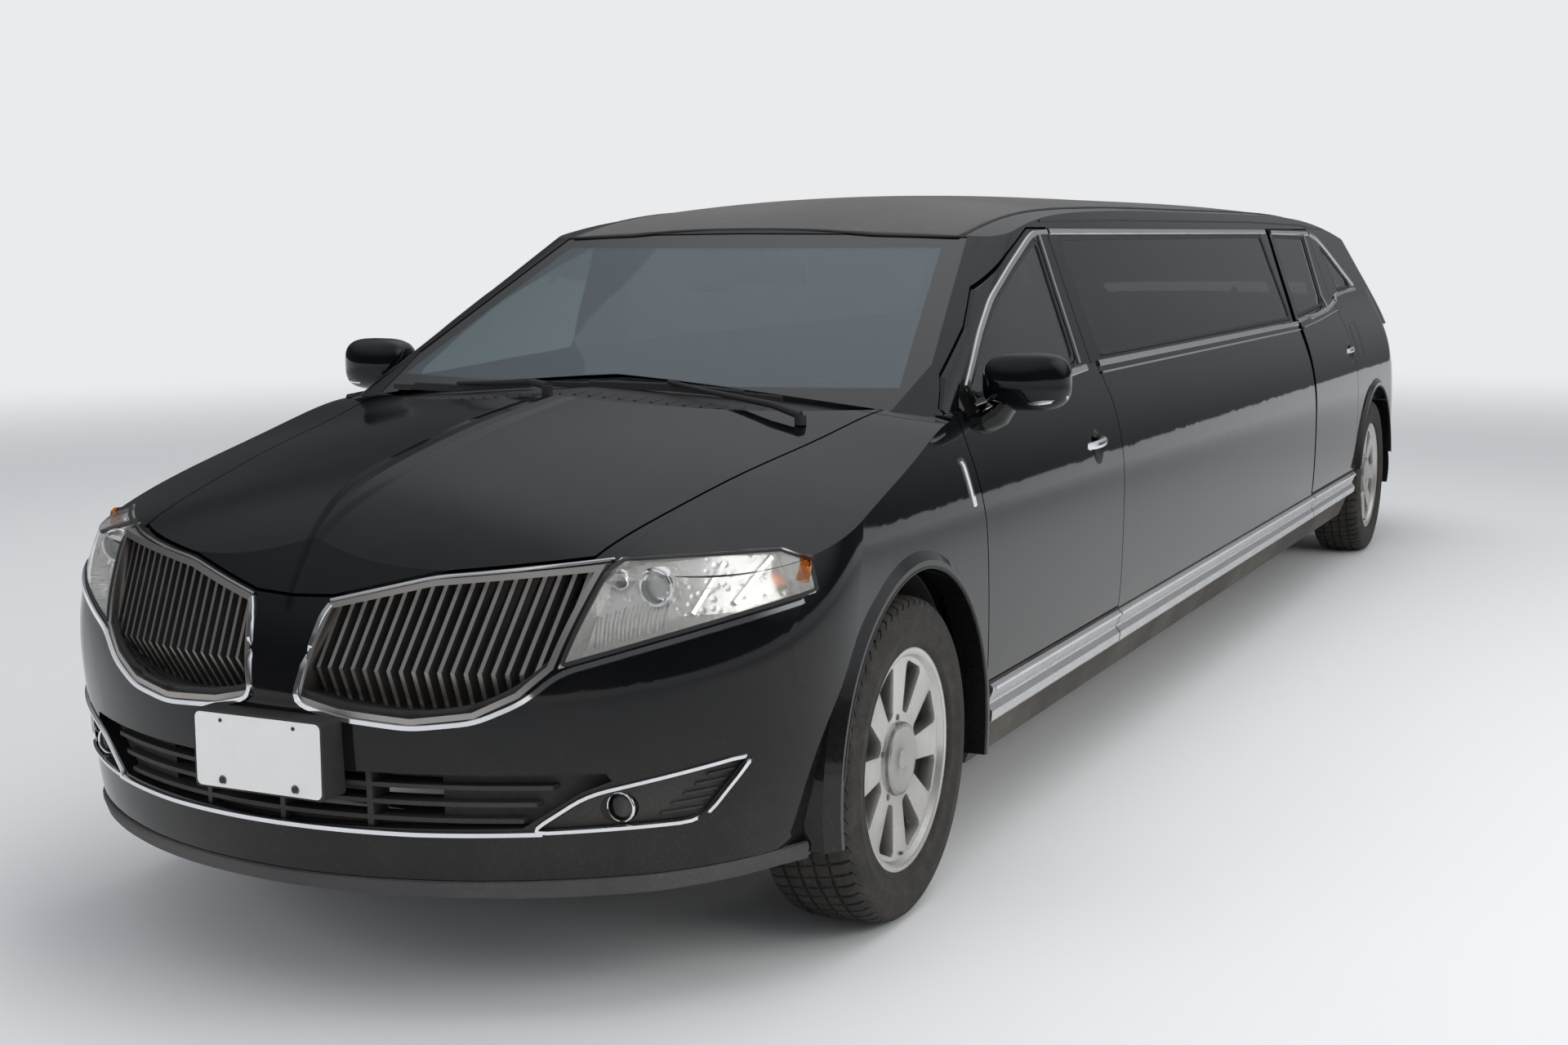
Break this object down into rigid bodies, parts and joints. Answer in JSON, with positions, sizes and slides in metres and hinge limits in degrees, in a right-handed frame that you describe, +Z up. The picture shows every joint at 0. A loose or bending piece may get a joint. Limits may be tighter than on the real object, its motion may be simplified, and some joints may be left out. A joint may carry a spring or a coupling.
{
  "type": "stretch limousine",
  "caption": "Four-door estate-style limousine lengthened between its doors, with opening doors, bonnet and tailgate, steered front wheels and four rolling wheels.",
  "frame": {"origin": "middle of the overall length and width, on the floor under the tyres", "axes": "+X forward, +Y to the left, +Z up"},
  "size_m": [8.378, 2.172, 1.6765],
  "materials": {
    "paint": "gloss black",
    "underbody": "coated black",
    "grille_bars": "satin",
    "black_trim": "grained",
    "lamp_glass": "clear",
    "lamp_housing": "satin reflector",
    "lamp_red": "red lens",
    "screen_glass": "tinted",
    "side_glass": "tinted",
    "dark_glass": "dark tint",
    "bright_trim": "polished",
    "steel": "plain",
    "engine_metal": "cast",
    "cast_iron": "plain",
    "interior": "grained",
    "seat_leather": "satin",
    "wheel_alloy": "machined",
    "tyre": "plain"
  },
  "bodies": {
    "root": {"floor_pan": "underbody", "sills": "underbody", "firewall": "underbody", "wheel_houses": "underbody", "front_bumper": "paint", "grille_left": "grille_bars", "grille_right": "grille_bars", "lower_grille": "black_trim", "plate_bracket": "black_trim", "headlamps": "lamp_housing", "headlamp_covers": "lamp_glass", "fog_lamps": "black_trim", "fender_left": "paint", "fender_right": "paint", "cowl_panel": "black_trim", "windscreen": "screen_glass", "roof": "paint", "side_panel_left": "paint", "side_panel_right": "paint", "stretch_glass": "dark_glass", "quarter_panel_left": "paint", "quarter_panel_right": "paint", "quarter_glass": "dark_glass", "tail_lamps": "lamp_red", "rear_bumper": "paint", "rocker_mouldings": "bright_trim", "front_subframe": "steel", "rear_suspension": "steel", "engine": "engine_metal", "exhaust": "steel", "dashboard": "interior", "seats": "seat_leather"},
    "hood": {"hood": "paint"},
    "front_door_left": {"front_door_left": "paint", "front_door_glass_left": "side_glass", "mirror_left": "paint"},
    "front_door_right": {"front_door_right": "paint", "front_door_glass_right": "side_glass", "mirror_right": "paint"},
    "rear_door_left": {"rear_door_left": "paint", "rear_door_glass_left": "dark_glass"},
    "rear_door_right": {"rear_door_right": "paint", "rear_door_glass_right": "dark_glass"},
    "tailgate": {"tailgate": "paint", "rear_glass": "dark_glass", "tail_lamp_band": "lamp_red"},
    "knuckle_left": {"knuckle_left": "cast_iron"},
    "knuckle_right": {"knuckle_right": "cast_iron"},
    "wheel_front_left": {"wheel_front_left": "wheel_alloy", "tyre_front_left": "tyre"},
    "wheel_front_right": {"wheel_front_right": "wheel_alloy", "tyre_front_right": "tyre"},
    "wheel_rear_left": {"wheel_rear_left": "wheel_alloy", "tyre_rear_left": "tyre"},
    "wheel_rear_right": {"wheel_rear_right": "wheel_alloy", "tyre_rear_right": "tyre"}
  },
  "joints": [
    {"name": "steering_left", "type": "hinge", "parent": "root", "child": "knuckle_left", "pos_m": [3.102, 0.742, 0.37], "axis": [0, -0.2079, 0.9781], "range_deg": [-32, 32]},
    {"name": "front_wheel_left_spin", "type": "hinge", "parent": "knuckle_left", "child": "wheel_front_left", "pos_m": [3.102, 0.8295, 0.37], "axis": [0, 1, 0], "continuous": true},
    {"name": "rear_wheel_left_spin", "type": "hinge", "parent": "root", "child": "wheel_rear_left", "pos_m": [-2.941, 0.8295, 0.37], "axis": [0, 1, 0], "continuous": true},
    {"name": "front_door_left_hinge", "type": "hinge", "parent": "root", "child": "front_door_left", "pos_m": [2.647, 0.955, 0.8], "axis": [0, 0, -1], "range_deg": [0, 65]},
    {"name": "rear_door_left_hinge", "type": "hinge", "parent": "root", "child": "rear_door_left", "pos_m": [-1.461, 0.955, 0.8], "axis": [0, 0, -1], "range_deg": [0, 65]},
    {"name": "steering_right", "type": "hinge", "parent": "root", "child": "knuckle_right", "pos_m": [3.102, -0.742, 0.37], "axis": [0, 0.2079, 0.9781], "range_deg": [-32, 32]},
    {"name": "front_wheel_right_spin", "type": "hinge", "parent": "knuckle_right", "child": "wheel_front_right", "pos_m": [3.102, -0.8295, 0.37], "axis": [0, 1, 0], "continuous": true},
    {"name": "rear_wheel_right_spin", "type": "hinge", "parent": "root", "child": "wheel_rear_right", "pos_m": [-2.941, -0.8295, 0.37], "axis": [0, 1, 0], "continuous": true},
    {"name": "front_door_right_hinge", "type": "hinge", "parent": "root", "child": "front_door_right", "pos_m": [2.647, -0.955, 0.8], "axis": [0, 0, 1], "range_deg": [0, 65]},
    {"name": "rear_door_right_hinge", "type": "hinge", "parent": "root", "child": "rear_door_right", "pos_m": [-1.461, -0.955, 0.8], "axis": [0, 0, 1], "range_deg": [0, 65]},
    {"name": "hood_hinge", "type": "hinge", "parent": "root", "child": "hood", "pos_m": [2.75, 0, 1.14], "axis": [0, -1, 0], "range_deg": [0, 55]},
    {"name": "tailgate_hinge", "type": "hinge", "parent": "root", "child": "tailgate", "pos_m": [-3.286, 0, 1.556], "axis": [0, 1, 0], "range_deg": [0, 75]}
  ],
  "couplings": [
    {"joint": "steering_right", "follows": "steering_left", "ratio": 1}
  ]
}
